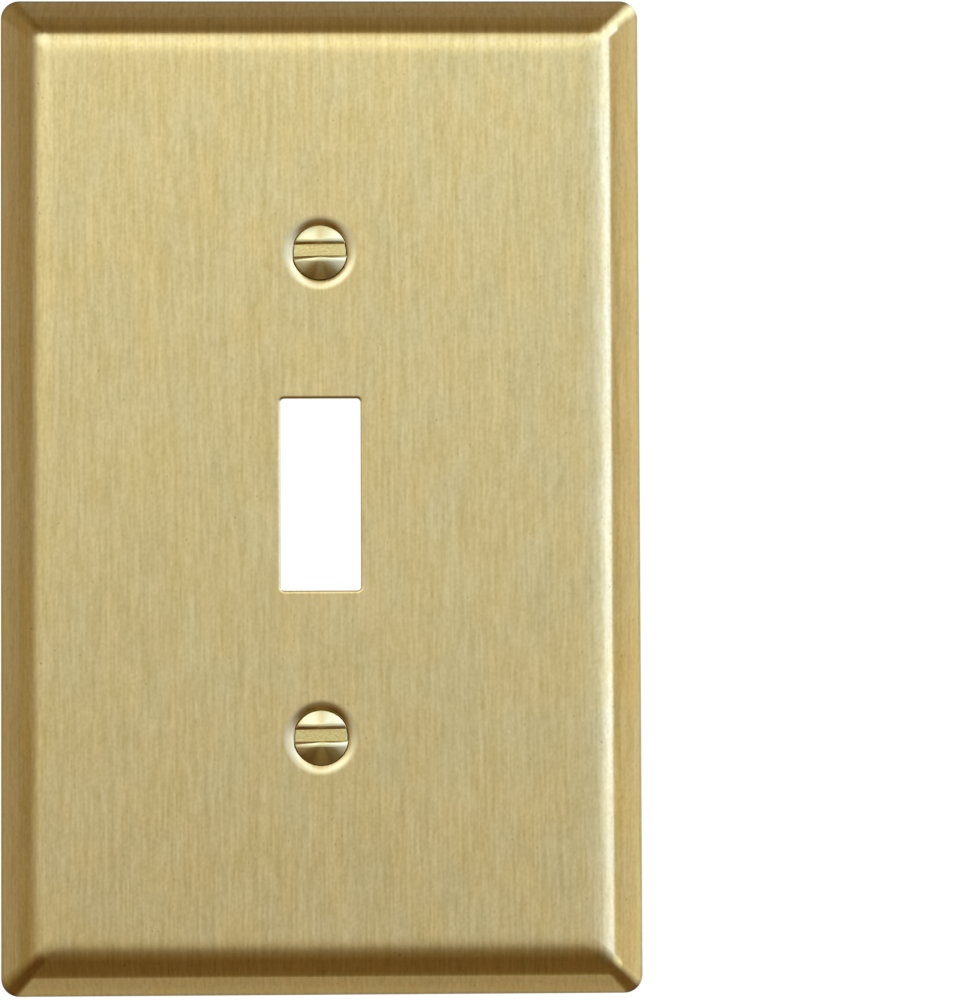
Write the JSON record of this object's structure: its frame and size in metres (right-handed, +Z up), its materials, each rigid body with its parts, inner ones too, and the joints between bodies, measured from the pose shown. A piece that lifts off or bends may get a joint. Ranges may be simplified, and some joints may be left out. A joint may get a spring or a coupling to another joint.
{
  "type": "toggle switch wall plate",
  "caption": "Wall plate for a toggle light switch: stamped brushed-brass shell with a toggle opening, held by slotted oval-head screws that withdraw forwards.",
  "frame": {"origin": "centre of the plate's back rim, in the plane of the wall and on the centre of the toggle opening", "axes": "+Z up along the plate's long side and the line of the two screws, +X to the right seen from the front, +Y into the wall, so the front face looks along -Y"},
  "size_m": [0.0802, 0.0135, 0.1248],
  "materials": {
    "brushed_brass": "fine vertical brushing under a clear satin lacquer",
    "polished_brass": "polished and plated, with light turning marks"
  },
  "bodies": {
    "plate": {"plate": "brushed_brass"},
    "upper_screw": {"upper_screw": "polished_brass"},
    "lower_screw": {"lower_screw": "polished_brass"}
  },
  "joints": [
    {"name": "upper_screw_withdraw", "type": "slide", "parent": "plate", "child": "upper_screw", "axis": [0, -1, 0], "range_m": [0, 0.016]},
    {"name": "lower_screw_withdraw", "type": "slide", "parent": "plate", "child": "lower_screw", "axis": [0, -1, 0], "range_m": [0, 0.016]}
  ]
}
